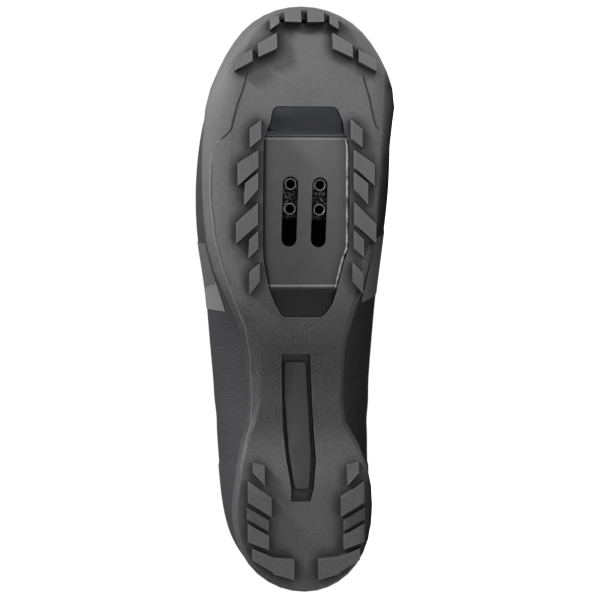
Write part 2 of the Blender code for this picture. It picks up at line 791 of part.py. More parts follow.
def add_strap(rows, name, rim_place, end_place, lateral_rows, medial_rows):
    """Hook-and-loop strap over the throat."""
    distance = STRAP_CLEARANCE + STRAP_THICKNESS
    lines = []
    for step in range(STRAP_STEPS + 1):
        edge = STRAP_WIDTH * (0.5 - step / STRAP_STEPS)
        legs = []
        for side, reach in ((-1, lateral_rows), (1, medial_rows)):
            places = [rim_place + (end_place - rim_place) * k / reach for k in range(reach + 1)]
            legs.append([
                wall_point(rows, WALL_STEPS - k, side, place * LENGTH + edge, distance)
                for k, place in enumerate(places)
            ])
        lines.append(bridge(*legs, STRAP_CROWN))
    return add_sheet(name, lines, STRAP_THICKNESS, "webbing")


def add_overlay(rows, name, side, back_low, back_high, front_low, front_high, low, high):
    """Film overlay on one side of the upper."""
    distance = OVERLAY_CLEARANCE + OVERLAY_THICKNESS
    lines = []
    for k in range(low, high + 1):
        rise = (k - low) / (high - low)
        back = back_low + (back_high - back_low) * rise
        front = front_low + (front_high - front_low) * rise
        places = [back + (front - back) * i / OVERLAY_STEPS for i in range(OVERLAY_STEPS + 1)]
        line = [wall_point(rows, k, side, place * LENGTH, distance) for place in places]
        lines.append(line if side < 0 else line[::-1])
    return add_sheet(name, lines, OVERLAY_THICKNESS, "overlay_film")


def solid_points(item):
    """Vertices of an evaluated object, with its volume and centre of volume."""
    evaluated = item.evaluated_get(bpy.context.evaluated_depsgraph_get())
    build = bmesh.new()
    build.from_mesh(evaluated.to_mesh())
    bmesh.ops.triangulate(build, faces=build.faces)
    volume, moment = 0.0, Vector()
    for face in build.faces:
        a, b, c = (vert.co for vert in face.verts)
        piece = a.dot(b.cross(c)) / 6
        volume += piece
        moment += (a + b + c) / 4 * piece
    points = [vert.co.copy() for vert in build.verts]
    build.free()
    evaluated.to_mesh_clear()
    return points, volume, moment


def resting_face():
    """Face of the shoe's hull that it lies on: on the medial side, under the centre of volume."""
    build = bmesh.new()
    volume, moment = 0.0, Vector()
    for item in bpy.data.collections["cycling_shoe"].objects:
        points, part, part_moment = solid_points(item)
        volume += part
        moment += part_moment
        for point in points:
            build.verts.new(point)
    centre = moment / volume
    hull = bmesh.ops.convex_hull(build, input=build.verts)["geom"]
    best, answer = 0.0, None
    for face in (part for part in hull if isinstance(part, bmesh.types.BMFace)):
        corners = [vert.co.copy() for vert in face.verts]
        normal = (corners[1] - corners[0]).cross(corners[2] - corners[0]).normalized()
        if normal.dot(corners[0] - centre) < 0:
            normal, corners = -normal, corners[::-1]
        edges = zip(corners, corners[1:] + corners[:1])
        inside = all((b - a).cross(centre - a).dot(normal) > 0 for a, b in edges)
        if inside and normal.y > best:
            best, answer = normal.y, (normal, corners, centre)
    build.free()
    return answer


def lay_on_side():
    """Parent every piece to an empty that lays the shoe on its inner side, toe towards +X."""
    normal, corners, centre = resting_face()
    down = -normal
    toe = (Vector((1, 0, 0)) - down * down.x).normalized()
    across = down.cross(toe)
    turn = Matrix((toe, -down.cross(toe), -normal))
    if turn.determinant() < 0:
        turn = Matrix((toe, across, -normal))
    points = []
    for item in bpy.data.collections["cycling_shoe"].objects:
        points += [turn @ point for point in solid_points(item)[0]]
    low = [min(point[i] for point in points) for i in range(3)]
    high = [max(point[i] for point in points) for i in range(3)]
    shift = Vector((-(low[0] + high[0]) / 2, -(low[1] + high[1]) / 2, -low[2]))
    holder = bpy.data.objects.new("lying_on_inner_side", None)
    bpy.data.collections["cycling_shoe"].objects.link(holder)
    holder.matrix_world = Matrix.Translation(shift) @ turn.to_4x4()
    for collection in ("cycling_shoe", "cutters"):
        for item in bpy.data.collections[collection].objects:
            if item is not holder:
                item.parent = holder
    for corner in corners:
        print(f"rests at {corner.x / LENGTH:.2f} of the length, {corner.z * 1000:.0f} mm up the side")


def main():
    clear_scene()
    sole = add_sole()
    plate = add_sole_plate(sole)
    add_cleat_nut_plate(plate)
    add_arch_insert(sole)
    add_insole()
    rows = upper_rows()
    add_upper(rows)
    add_tongue(rows)
    for strap in STRAPS:
        add_strap(rows, *strap)
    for overlay in OVERLAYS:
        add_overlay(rows, *overlay)
    lay_on_side()


main()
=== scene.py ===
# %% [markdown]
# A right cycling shoe, seen from below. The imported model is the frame: it gives every size and
# place, and the pieces below are copies of its parts with softened edges, seams and real finishes.

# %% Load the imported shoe
import json
import math

import bmesh
import bpy
from mathutils import Matrix, Vector

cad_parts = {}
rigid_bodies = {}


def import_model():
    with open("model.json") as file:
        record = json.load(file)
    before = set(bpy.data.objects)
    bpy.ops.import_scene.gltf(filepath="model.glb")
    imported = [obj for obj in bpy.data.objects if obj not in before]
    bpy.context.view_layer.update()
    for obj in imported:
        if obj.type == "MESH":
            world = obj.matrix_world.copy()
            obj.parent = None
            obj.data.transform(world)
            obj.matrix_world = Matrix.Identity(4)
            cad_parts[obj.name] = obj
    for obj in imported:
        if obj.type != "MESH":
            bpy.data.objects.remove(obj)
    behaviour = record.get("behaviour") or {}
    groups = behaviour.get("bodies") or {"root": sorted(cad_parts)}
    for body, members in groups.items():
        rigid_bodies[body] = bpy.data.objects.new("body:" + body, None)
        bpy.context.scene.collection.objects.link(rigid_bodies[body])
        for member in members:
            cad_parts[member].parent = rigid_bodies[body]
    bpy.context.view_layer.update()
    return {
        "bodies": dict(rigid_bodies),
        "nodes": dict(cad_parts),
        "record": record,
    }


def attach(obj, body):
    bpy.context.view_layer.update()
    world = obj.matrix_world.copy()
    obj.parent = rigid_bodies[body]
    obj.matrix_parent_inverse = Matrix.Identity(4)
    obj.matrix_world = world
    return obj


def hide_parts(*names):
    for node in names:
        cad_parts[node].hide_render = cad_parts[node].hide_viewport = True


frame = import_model()
print("nodes:", sorted(frame["nodes"]))

# %% [markdown]
# The shoe lies on its inner side, so its own directions are turned in the room. The cleat seat's
# mount gives the upward direction, and the joint of the nut plate runs 1.7 degrees off the shoe's
# length. With these, a place can be named in the shoe's own sizes: from the heel, to the inner
# side, and up from the lug tips.

# %% The shoe's own directions
record = frame["record"]
seat_mount = record["mounts"][0]
slide = record["behaviour"]["joints"][0]
SLOT_LEAN = math.radians(1.7)
SEAT_IN_SHOE = Vector((0.1808, -0.0004, 0.009))
LENGTH = 0.281
UP = -Vector(seat_mount["axis"]).normalized()
TOE = Matrix.Rotation(-SLOT_LEAN, 3, UP) @ Vector(slide["axis"])
TOE = (TOE - TOE.dot(UP) * UP).normalized()
INNER = UP.cross(TOE)
SEAT_IN_ROOM = Vector(seat_mount["pos_m"])
TURN = Matrix((TOE, INNER, UP)).transposed()


def spot(x, y, z):
    """Place in the room of a point given in the shoe's own frame."""
    return SEAT_IN_ROOM + TURN @ (Vector((x, y, z)) - SEAT_IN_SHOE)


def in_shoe(point):
    """Place in the shoe's own frame of a point in the room."""
    return TURN.transposed() @ (point - SEAT_IN_ROOM) + SEAT_IN_SHOE


print("heel", [round(v, 4) for v in spot(0, 0, 0)], "toe", [round(v, 4) for v in spot(LENGTH, 0, 0)])

# %% [markdown]
# The photograph looks straight at the sole, with the toe at the top of the picture. The shoe faces
# a little downwards, so the camera stops just above the floor and is rolled a quarter turn. A long
# lens far away keeps the sole's outline free of perspective.

# %% Camera
PICTURE_WIDTH = 0.2838
PICTURE_CENTRE = (0.1391, -0.0026, 0.008)
CAMERA_DISTANCE = 1.1
CAMERA_HEIGHT = 0.004
SENSOR = 36.0
target = spot(*PICTURE_CENTRE)
eye = target - UP * CAMERA_DISTANCE
eye.z = CAMERA_HEIGHT
forward = (target - eye).normalized()
right = forward.cross(TOE).normalized()
above = right.cross(forward)
bpy.ops.object.camera_add(location=eye)
camera = bpy.context.object
camera.name = "camera"
camera.rotation_euler = Matrix((right, above, -forward)).transposed().to_euler()
camera.data.sensor_width = SENSOR
camera.data.lens = SENSOR * (target - eye).length / PICTURE_WIDTH
camera.data.clip_start = 0.02
bpy.context.scene.camera = camera
print("lens", round(camera.data.lens, 1), "eye", [round(v, 3) for v in eye])

# %% [markdown]
# The studio is white. A Light Path node lets the camera see the surround and the floor as pure white,
# while they light the shoe only softly. Three soft boxes give the shape: the main one stands over the
# shoe's outer side, which is the left of the picture.

# %% Floor, surround and lights
bpy.context.scene.view_settings.view_transform = "Standard"
FLOOR_SIZE = 8.0
FLOOR_DROP = 0.0002
bpy.ops.mesh.primitive_plane_add(size=FLOOR_SIZE, location=(0, 0, -FLOOR_DROP))
floor = bpy.context.object
floor.name = "studio_floor"

SURROUND = 0.27
world = bpy.data.worlds.new("studio")
world.use_nodes = True
bpy.context.scene.world = world
room = world.node_tree
rays = room.nodes.new("ShaderNodeLightPath")
level = room.nodes.new("ShaderNodeMapRange")
level.inputs["To Min"].default_value = SURROUND
level.inputs["To Max"].default_value = 1.0
room.links.new(rays.outputs["Is Camera Ray"], level.inputs["Value"])
room.links.new(level.outputs["Result"], room.nodes["Background"].inputs["Strength"])
room.nodes["Background"].inputs["Color"].default_value = (1, 1, 1, 1)

SOFT_BOXES = (
    # name, place, size, watts
    ("soft_box_outer_side", (0.66, -0.38, 0.86), 0.18, 22.0),
    ("soft_box_front", (0.10, -1.40, 0.38), 0.9, 6.0),
    ("soft_box_above", (0.10, -0.50, 1.10), 0.5, 6.0),
)
for name, place, size, watts in SOFT_BOXES:
    bpy.ops.object.light_add(type="AREA", location=place)
    lamp = bpy.context.object
    lamp.name = name
    lamp.data.size = size
    lamp.data.energy = watts
    lamp.rotation_euler = (target - lamp.location).to_track_quat("-Z", "Y").to_euler()
print("soft boxes:", len(SOFT_BOXES))

# %% [markdown]
# Finishes are worked out from a few masks and noises. Level wraps a socket, so that adding or
# multiplying two of them adds the Math node, and Finish makes any other node with one call.


# %% Shader maths as expressions
def plug(tree, socket, value):
    """Link a Level to a socket, or set the socket's value."""
    if isinstance(value, Level):
        tree.links.new(value.socket, socket)
    else:
        socket.default_value = value


class Level:
    """A node's output that can be used in arithmetic."""

    def __init__(self, tree, socket):
        self.tree = tree
        self.socket = socket

    def maths(self, operation, other=0.0, clamp=False):
        node = self.tree.nodes.new("ShaderNodeMath")
        node.operation = operation
        node.use_clamp = clamp
        plug(self.tree, node.inputs[0], self)
        plug(self.tree, node.inputs[1], other)
        return Level(self.tree, node.outputs[0])

    def __add__(self, other):
        return self.maths("ADD", other)

    def __sub__(self, other):
        return self.maths("SUBTRACT", other)

    def __mul__(self, other):
        return self.maths("MULTIPLY", other)

    def __truediv__(self, other):
        return self.maths("DIVIDE", other)

    def __rsub__(self, other):
        return self * -1.0 + other

    __radd__ = __add__
    __rmul__ = __mul__

    def rise(self, low, high):
        """0 below low and 1 above high."""
        return ((self - low) / (high - low)).maths("ADD", 0.0, clamp=True)

    def between(self, low, high, soft):
        """1 between low and high, with edges of the given softness."""
        return self.rise(low - soft, low + soft) * (1 - self.rise(high - soft, high + soft))

    def wave(self, length):
        """A sine from 0 to 1 with the given wavelength."""
        return (self * (2 * math.pi / length)).maths("SINE") * 0.5 + 0.5


class Finish:
    """A material, its Principled shader, and its nodes made one by one."""

    def __init__(self, name, constants):
        self.material = bpy.data.materials.new(name)
        self.material.use_nodes = True
        self.tree = self.material.node_tree
        self.shader = self.tree.nodes["Principled BSDF"]
        for socket, value in constants.items():
            self.shader.inputs[socket].default_value = value

    def node(self, kind, settings=None, inputs=None, output=0):
        node = self.tree.nodes.new("ShaderNode" + kind)
        for key, value in (settings or {}).items():
            setattr(node, key, value)
        for key, value in (inputs or {}).items():
            plug(self.tree, node.inputs[key], value)
        return Level(self.tree, node.outputs[output])

    def noise(self, where, size, detail=2.0):
        """Noise whose grains are about size millimetres across."""
        inputs = {"Vector": where, "Scale": 1 / size, "Detail": detail}
        return self.node("TexNoise", None, inputs)

    def blend(self, share, low, high):
        """A colour between two, each given as red, green and blue or as a Level."""
        low, high = [item if isinstance(item, Level) else (*item, 1) for item in (low, high)]
        return self.node("Mix", {"data_type": "RGBA"}, {0: share, 6: low, 7: high}, 2)

    def hollow(self, reach):
        """0 deep in a corner of the piece and 1 in the open, within reach millimetres."""
        return self.node("AmbientOcclusion", {"samples": 8}, {"Distance": reach / 1000}, "AO")

    def rim(self, reach):
        """0 on flat parts and up to 1 on the outer edges of the piece, within reach millimetres."""
        settings = {"samples": 8, "inside": True}
        return 1 - self.node("AmbientOcclusion", settings, {"Distance": reach / 1000}, "AO")

    def relief(self, height, depth):
        """Bump of a height from 0 to 1 that stands depth millimetres proud."""
        bump = self.node("Bump", None, {"Height": height, "Distance": depth / 1000})
        plug(self.tree, self.shader.inputs["Normal"], bump)

    def show(self, socket, value):
        plug(self.tree, self.shader.inputs[socket], value)


# %% [markdown]
# All patterns are laid out in the shoe's own frame, in millimetres. A Mapping node turns Object
# coordinates into it, so a mask such as the waist can be given by its distance from the heel.

# %% Millimetres in the shoe's own frame
MM = 1000.0
BACK_TURN = TURN.transposed()
SHIFT = (SEAT_IN_SHOE - BACK_TURN @ SEAT_IN_ROOM) * MM


def shoe_place(finish):
    """The mapped place, and its three parts: along, across and up."""
    where = finish.node("TexCoord", output="Object")
    mapping = {"Vector": where, "Location": SHIFT, "Rotation": BACK_TURN.to_euler(), "Scale": (MM, MM, MM)}
    place = finish.node("Mapping", None, mapping)
    parts = [finish.node("SeparateXYZ", None, {0: place}, axis) for axis in range(3)]
    return [place] + parts


# %% [markdown]
# The sole's rubber is matt and slightly grainy from its mould, with a fine speckle all over. Its colour
# holds painted light: paler at the toe, which faces the light, and darker in the waist as painted shade.
# Ambient Occlusion read outside the rubber paints shade in corners and at the feet of the lugs, and
# read inside it paints highlights on the rims of the lugs.


# %% Rubber of the outsole
WAIST = (70, 142)
HEEL_FRONT = (55, 80)
TOE_PAINTED_LIGHT = (150, 262)
RUBBER_DARK = (0.005, 0.005, 0.006)
RUBBER_LIGHT = (0.096, 0.096, 0.098)


def make_rubber():
    finish = Finish("lugged_rubber", {"Specular IOR Level": 0.34})
    place, along, _, _ = shoe_place(finish)
    clouds = finish.noise(place, 22.0, 3.0)
    speckle = finish.noise(place, 0.8, 3.0)
    grain = finish.noise(place, 0.7, 2.0)
    # Painted shade: Ambient Occlusion darkens the rubber in corners.
    painted_corner_shade = finish.hollow(6.0).rise(0.48, 1.0)
    waist = along.between(*WAIST, 12)
    heel = 1 - along.rise(*HEEL_FRONT)
    # Painted light: the toe is made paler where the light falls, and the waist darker as painted shade.
    # The heel is a little darker.
    tone = 0.42 + 0.15 * along.rise(*TOE_PAINTED_LIGHT) - 0.26 * waist - 0.07 * heel
    tone = tone + (clouds - 0.5) * 0.22 + (speckle - 0.5) * 0.55
    # Painted shade, tight at the feet of the lugs.
    lug_foot_painted_shade = finish.hollow(1.6).rise(0.5, 0.95)
    tone = tone * (0.03 + 0.97 * painted_corner_shade * painted_corner_shade) * (0.25 + 0.75 * lug_foot_painted_shade)
    # Painted highlight: the rims of the lugs and other outer edges are made lighter.
    tone = tone + 0.30 * finish.rim(0.7).rise(0.1, 0.6) * painted_corner_shade
    finish.show("Base Color", finish.blend(tone.rise(0, 1), RUBBER_DARK, RUBBER_LIGHT))
    finish.show("Roughness", 0.58 + 0.16 * clouds)
    finish.relief(grain * 0.5 + speckle * 0.5, 0.16)
    return finish.material


# %% [markdown]
# The moulded lines of the tread look almost black from the shade at their steps. A cord that lies in
# such a line gets the same rubber in a darker tone, as painted shade, because the light alone would not
# draw it.


# %% Rubber in the lines
def make_line_rubber():
    finish = Finish("line_rubber", {"Specular IOR Level": 0.2})
    place = shoe_place(finish)[0]
    grain = finish.noise(place, 0.7, 2.0)
    # Painted shade: a near-black copy of the rubber.
    finish.show("Base Color", finish.blend(grain, (0.004, 0.004, 0.004), (0.016, 0.016, 0.017)))
    finish.show("Roughness", 0.65 + 0.2 * grain)
    return finish.material


# %% [markdown]
# The nylon plate is one moulding with two surfaces: a matt, finely textured seat for the cleat, and
# two polished ramps that help a pedal to slide into place. Its colour holds painted light: the seat
# and the ramps are lighter towards the front, where light falls, its edges and its lowest rim get painted
# highlights, speckled by noise on the rim, and its corners and the step to the front ramp get painted
# shade. No light reaches its upper side, which only shows through the slots, so it is painted dark.


# %% Nylon of the sole plate
NYLON_DARK = (0.001, 0.001, 0.001)
NYLON_LIGHT = (0.080, 0.080, 0.081)
NYLON_PAINTED_HIGHLIGHT = (0.22, 0.22, 0.22)
RAMP_REAR = (0.0002, 0.0002, 0.0003)
RAMP_FRONT = (0.0065, 0.007, 0.0105)


def make_nylon():
    finish = Finish("moulded_nylon", {"Specular IOR Level": 0.17, "Coat Roughness": 0.15})
    place, along, _, up = shoe_place(finish)
    ramps = along.rise(216.8, 217.6) + (1 - along.rise(144.2, 145.2))
    towards_front = along.rise(150, 210)
    clouds = finish.noise(place, 9.0, 3.0)
    smear = finish.noise(place, 3.0, 4.0)
    # Painted light: the seat gets lighter towards the front.
    seat = 0.45 + 0.35 * along.rise(146, 216) + (clouds - 0.5) * 0.16
    # Painted highlights on the front and rear edges of the window.
    edge = along.between(215.0, 215.8, 0.15) + 1.8 * along.between(145.5, 146.3, 0.15)
    # Painted shade: a dark line at the step to the front ramp.
    seam = along.between(216.1, 216.8, 0.1)
    # Painted shade at that step and, from Ambient Occlusion, in corners.
    seat = seat * (1 - 0.9 * seam) * (0.02 + 0.98 * finish.hollow(6.0).rise(0.3, 0.95))
    # Painted shade: the upper side, seen only through the slots, is made dark.
    grey = finish.blend(seat * (1 - up.rise(10.5, 12.0)), NYLON_DARK, NYLON_LIGHT)
    # Painted highlight, speckled by noise, on the plate's lowest rim.
    lip_painted_highlight = (1 - up.rise(8.75, 8.9)) * smear.rise(0.35, 0.55)
    grey = finish.blend((0.35 * edge + 0.8 * lip_painted_highlight).rise(0, 1), grey, NYLON_PAINTED_HIGHLIGHT)
    # Painted light: the front ramp is made lighter than the rear one.
    ramp_grey = finish.blend(towards_front, RAMP_REAR, RAMP_FRONT)
    finish.show("Base Color", finish.blend(ramps, grey, ramp_grey))
    polish = ramps * (0.10 + 0.14 * towards_front)
    finish.show("Roughness", 0.56 - polish + (smear - 0.5) * 0.16)
    finish.show("Coat Weight", ramps * 0.10 * towards_front)
    grain = finish.noise(place, 0.35, 2.0)
    finish.relief(grain * (1 - ramps) + smear * ramps * 0.6, 0.06)
    return finish.material


# %% [markdown]
# The nut plate is zinc-plated steel with scuffs where bolts have been turned. The mouths of its holes
# get a painted highlight, and the threads above them are darkened with painted shade.


# %% Steel of the nut plate
MOUTH_DEPTH = (9.9, 10.2)


def make_steel():
    finish = Finish("plated_steel", {"Metallic": 1.0})
    place = shoe_place(finish)[0]
    scuffs = finish.noise(place, 1.6, 4.0)
    marks = scuffs.rise(0.52, 0.70)
    finish.show("Base Color", finish.blend(marks, (0.004, 0.004, 0.004), (0.06, 0.06, 0.059)))
    finish.show("Roughness", 0.52 - 0.22 * marks)
    finish.relief(scuffs, 0.12)
    return finish.material


def make_bright_steel():
    finish = Finish("steel_highlight_and_shade", {"Metallic": 1.0})
    place, _, _, up = shoe_place(finish)
    # Painted highlight at the mouth, and painted shade that deepens on the threads above it.
    deep = up.rise(*MOUTH_DEPTH)
    finish.show("Base Color", finish.blend(deep, (0.20, 0.20, 0.195), (0.012, 0.012, 0.012)))
    finish.show("Roughness", 0.24 + 0.3 * finish.noise(place, 0.8, 3.0))
    return finish.material


# %% [markdown]
# The insert in the waist is a satin plate of smooth plastic, left bare.


# %% Plastic of the waist insert
def make_insert():
    finish = Finish("satin_insert", {"Specular IOR Level": 0.30})
    place = shoe_place(finish)[0]
    clouds = finish.noise(place, 12.0, 3.0)
    grain = finish.noise(place, 0.4, 2.0)
    finish.show("Base Color", finish.blend(clouds, (0.008, 0.008, 0.009), (0.019, 0.019, 0.020)))
    finish.show("Roughness", 0.44 + 0.16 * grain)
    finish.relief(grain, 0.05)
    return finish.material


# %% [markdown]
# The upper is a black synthetic with a dull coat. Its sides carry a close mesh, and the toe, the heel
# counter and the edge over the sole are smooth. One mask gives both the relief and the colour.


# %% Coated fabric of the upper
COUNTER_FRONT = (58, 61)
CAP_BACK = (228, 230)
FABRIC_DARK = (0.009, 0.009, 0.010)
FABRIC_LIGHT = (0.036, 0.036, 0.038)


def make_upper_fabric():
    finish = Finish("coated_upper", {"Specular IOR Level": 0.24})
    place, along, _, _ = shoe_place(finish)
    counter = 1 - along.rise(*COUNTER_FRONT)
    cap = along.rise(*CAP_BACK)
    smooth_parts = (counter + cap).rise(0, 1)
    cells = finish.node("TexVoronoi", {"feature": "DISTANCE_TO_EDGE"}, {"Vector": place, "Scale": 0.62})
    holes = cells.rise(0.02, 0.22)
    clouds = finish.noise(place, 18.0, 3.0)
    grain = finish.noise(place, 0.5, 3.0)
    tone = 0.30 + (clouds - 0.5) * 0.35 + 0.22 * smooth_parts + 0.18 * holes * (1 - smooth_parts)
    finish.show("Base Color", finish.blend(tone.rise(0, 1), FABRIC_DARK, FABRIC_LIGHT))
    finish.show("Roughness", 0.66 - 0.14 * smooth_parts + 0.10 * grain)
    finish.relief(holes * (1 - smooth_parts) * 0.75 + grain * 0.25, 0.12)
    return finish.material


# %% [markdown]
# The overlays are thin printed film with a satin face, in a lighter tone at the heel end of the outer
# one; the inner one is painted much lighter, as painted light on the side that lies in shade. Webbing
# is woven: two crossed sine waves give its ribs, and the lining is a knitted mesh. The insole's cloth
# is the same weave, painted dark on its underside as shade, where it shows through the slots.


# %% Film, webbing and lining
FILM_STEP = (150.0, 151.0)
INSOLE_UNDERSIDE = 16.6
LINING_DARK = (0.010, 0.010, 0.010)
LINING_LIGHT = (0.040, 0.040, 0.042)
WEBBING_DARK = (0.010, 0.010, 0.011)
CLOTH_LIGHT = (0.050, 0.050, 0.052)


def make_film():
    finish = Finish("overlay_film", {"Specular IOR Level": 0.35})
    place, along, across, up = shoe_place(finish)
    light = 1 - (along + up * 0.15).rise(*FILM_STEP)
    inner = across.rise(-1, 1)
    clouds = finish.noise(place, 8.0, 2.0)
    grain = finish.noise(place, 0.4, 2.0)
    # Painted light: the inner film is made much lighter than the outer one.
    share = (0.20 + 0.42 * light) * (1 - inner) + 0.95 * inner + (clouds - 0.5) * 0.14
    finish.show("Base Color", finish.blend(share, (0.026, 0.026, 0.027), (0.130, 0.130, 0.133)))
    finish.show("Roughness", 0.52 + 0.15 * grain)
    finish.relief(grain, 0.05)
    return finish.material


def make_weave(name, dark, light, rib, depth, sheen=0.25, underside=None):
    """Woven cloth with ribs of the given width, and with painted shade below the height of its underside.
    """
    finish = Finish(name, {"Sheen Weight": sheen, "Sheen Roughness": 0.5, "Specular IOR Level": sheen})
    place, along, across, up = shoe_place(finish)
    warp = along.wave(rib)
    weft = (across + up).wave(rib * 0.8)
    threads = warp * weft
    fuzz = finish.noise(place, 0.5, 3.0)
    share = threads * 0.7 + fuzz * 0.3
    # Painted shade: the cloth turns dark below the underside's height.
    if underside:
        share = share * up.rise(underside, underside + 0.8)
    finish.show("Base Color", finish.blend(share, dark, light))
    finish.show("Roughness", 0.80 + 0.12 * fuzz)
    finish.relief(threads * 0.8 + fuzz * 0.2, depth)
    return finish.material


FINISHES = {
    "rubber": make_rubber(),
    "line_rubber": make_line_rubber(),
    "nylon": make_nylon(),
    "steel": make_steel(),
    "steel_highlight_and_shade": make_bright_steel(),
    "insert": make_insert(),
    "upper_shell": make_upper_fabric(),
    "overlay_film": make_film(),
    "webbing": make_weave("strap_webbing", WEBBING_DARK, CLOTH_LIGHT, 1.3, 0.20),
    "lining": make_weave("knitted_lining", LINING_DARK, LINING_LIGHT, 1.0, 0.25),
    "foam": make_weave("insole_cloth", NYLON_DARK, CLOTH_LIGHT, 0.8, 0.12, 0.0, INSOLE_UNDERSIDE),
}
print("finishes:", len(FINISHES))

# %% [markdown]
# The floor's white has two sides as well. The camera sees it glow, so that the horizon disappears in
# the surround, and the shoe gets only a soft bounce from it.

# %% White of the floor
white = Finish("studio_white", {"Roughness": 0.9, "Emission Strength": 0.72})
seen = white.node("LightPath", output="Is Camera Ray")
white.show("Base Color", white.blend(seen, (0.72, 0.72, 0.72), (0.90, 0.90, 0.90)))
white.show("Emission Color", white.blend(seen, (0.18, 0.18, 0.18), (1.0, 1.0, 1.0)))
floor.data.materials.append(white.material)
print("floor finish:", white.material.name)

# %% [markdown]
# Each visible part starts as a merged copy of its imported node. Its sharp edges are bevelled as the
# mould leaves them, and soft parts are subdivided until they flow.


# %% Dress a part of the frame
MERGE_DISTANCE = 0.00002
FLAT_ANGLE = math.radians(60)
SHARP_ANGLE = math.radians(30)
SMOOTH_ANGLE = math.radians(35)


def only(item):
    """Make one object the selected and active one."""
    bpy.ops.object.select_all(action="DESELECT")
    item.select_set(True)
    bpy.context.view_layer.objects.active = item


def apply_modifier(item, kind, settings):
    """Add a modifier with its settings, and apply it."""
    only(item)
    modifier = item.modifiers.new(kind.lower(), kind)
    for key, value in settings.items():
        setattr(modifier, key, value)
    bpy.ops.object.modifier_apply(modifier=modifier.name)


def hand_over(item, slot, body):
    """Give a finished piece its material and its body."""
    item.data.materials.clear()
    item.data.materials.append(FINISHES[slot])
    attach(item, body)


def dress(node, name, slot, body, edge, levels=0):
    """Merged copy of a node with edges rounded to edge metres and subdivided levels times."""
    item = bpy.data.objects.new(name, frame["nodes"][node].data.copy())
    bpy.context.scene.collection.objects.link(item)
    only(item)
    bpy.ops.object.mode_set(mode="EDIT")
    bpy.ops.mesh.select_all(action="SELECT")
    bpy.ops.mesh.remove_doubles(threshold=MERGE_DISTANCE)
    bpy.ops.mesh.tris_convert_to_quads(face_threshold=FLAT_ANGLE, shape_threshold=FLAT_ANGLE)
    bpy.ops.object.mode_set(mode="OBJECT")
    if edge:
        rounding = {"width": edge, "segments": 2, "limit_method": "ANGLE", "angle_limit": SHARP_ANGLE}
        apply_modifier(item, "BEVEL", rounding)
    if levels:
        apply_modifier(item, "SUBSURF", {"levels": levels, "render_levels": levels})
    only(item)
    bpy.ops.object.shade_smooth_by_angle(angle=SMOOTH_ANGLE)
    hand_over(item, slot, body)
    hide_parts(node)
    print(name, len(item.data.vertices), "vertices")
    return item


root = next(body for body in frame["bodies"] if body != "nut_plate")
outsole = dress("outsole", "sole_rubber", "rubber", root, 0.0004)
plate = dress("sole_plate", "cleat_plate", "nylon", root, 0.0003)
nut_plate = dress("cleat_nut_plate", "nut_plate_steel", "steel", "nut_plate", 0.00015)
dress("arch_insert", "waist_insert", "insert", root, 0.0004)
dress("insole", "insole_sock", "foam", root, 0.0006)

# %% [markdown]
# Thin raised beads part the toe panel from the rest of the tread, and run along the outer edge of the
# sole. A cutter would break up the rubber's even shading, so each bead is a round cord, laid half
# sunk on the surface that a line of sight from below meets.


# %% Beads on the sole
BELOW_SOLE = -0.05
TAPER_START = 0.35
TAPER_STEP = 0.3
BEAD_SUNK = 0.45


def on_surface(item, x, y, z=BELOW_SOLE):
    """Where a line going up from a point of the shoe's frame meets a piece, and its direction."""
    hit, place, normal, _ = item.ray_cast(spot(x, y, z), UP)
    return (place, normal) if hit else (None, None)


def fill_in(points, step=2.5):
    """Points every step millimetres along a line through the given points."""
    filled = []
    for (x0, y0), (x1, y1) in zip(points, points[1:]):
        count = max(1, round(math.hypot(x1 - x0, y1 - y0) / step))
        filled += [(x0 + (x1 - x0) * i / count, y0 + (y1 - y0) * i / count) for i in range(count)]
    return filled + [points[-1]]


def round_cord(name, places, radius, slot):
    """Round cord with tapered ends through places in the room."""
    line = bpy.data.curves.new(name, "CURVE")
    line.dimensions = "3D"
    line.bevel_depth = radius
    line.bevel_resolution = 3
    line.use_fill_caps = True
    spline = line.splines.new("POLY")
    spline.points.add(len(places) - 1)
    for number, (point, place) in enumerate(zip(spline.points, places)):
        point.co = (*place, 1)
        ends = min(number, len(places) - 1 - number)
        point.radius = min(1.0, TAPER_START + TAPER_STEP * ends)
    cord = bpy.data.objects.new(name, line)
    bpy.context.scene.collection.objects.link(cord)
    only(cord)
    bpy.ops.object.convert(target="MESH")
    cord = bpy.context.object
    bpy.ops.object.shade_smooth()
    hand_over(cord, slot, root)
    return cord


def bead(name, item, points, radius):
    """Bead along points in millimetres of the shoe's frame, laid half sunk on a piece from below."""
    met = [on_surface(item, x / MM, y / MM) for x, y in fill_in(points)]
    places = [place - normal * radius * BEAD_SUNK for place, normal in met if place]
    return round_cord(name, places, radius, "rubber")


def paint_shade(cord):
    """Give a cord the darkened rubber of a moulded line, as painted shade."""
    cord.data.materials[0] = FINISHES["line_rubber"]


BEADS = (
    # name, radius, points along and across in millimetres from the heel and the middle
    ("panel_bead_outer", 0.00045, ((249.4, -26.7), (237.5, -30.0), (231.3, -32.4), (225.6, -33.9),
                                   (219.4, -35.3), (216.0, -38.6), (213.2, -42.0))),
    ("panel_bead_inner", 0.00045, ((248.5, 26.7), (242.3, 28.1), (235.1, 30.1), (225.6, 32.0),
                                   (221.8, 32.9), (217.4, 36.7))),
    ("edge_bead_outer", 0.0008, ((208.0, -44.6), (188.0, -45.0), (168.0, -42.8), (154.0, -39.2),
                                 (139.7, -33.6), (125.4, -28.2), (111.0, -25.6), (92.0, -24.9),
                                 (80.0, -25.4), (71.0, -28.0), (58.0, -31.0))),
)
for name, radius, points in BEADS:
    cord = bead(name, outsole, points, radius)
    # The beads round the toe panel get the darkened rubber, as painted shade.
    if name.startswith("panel"):
        paint_shade(cord)
print("beads:", len(BEADS))

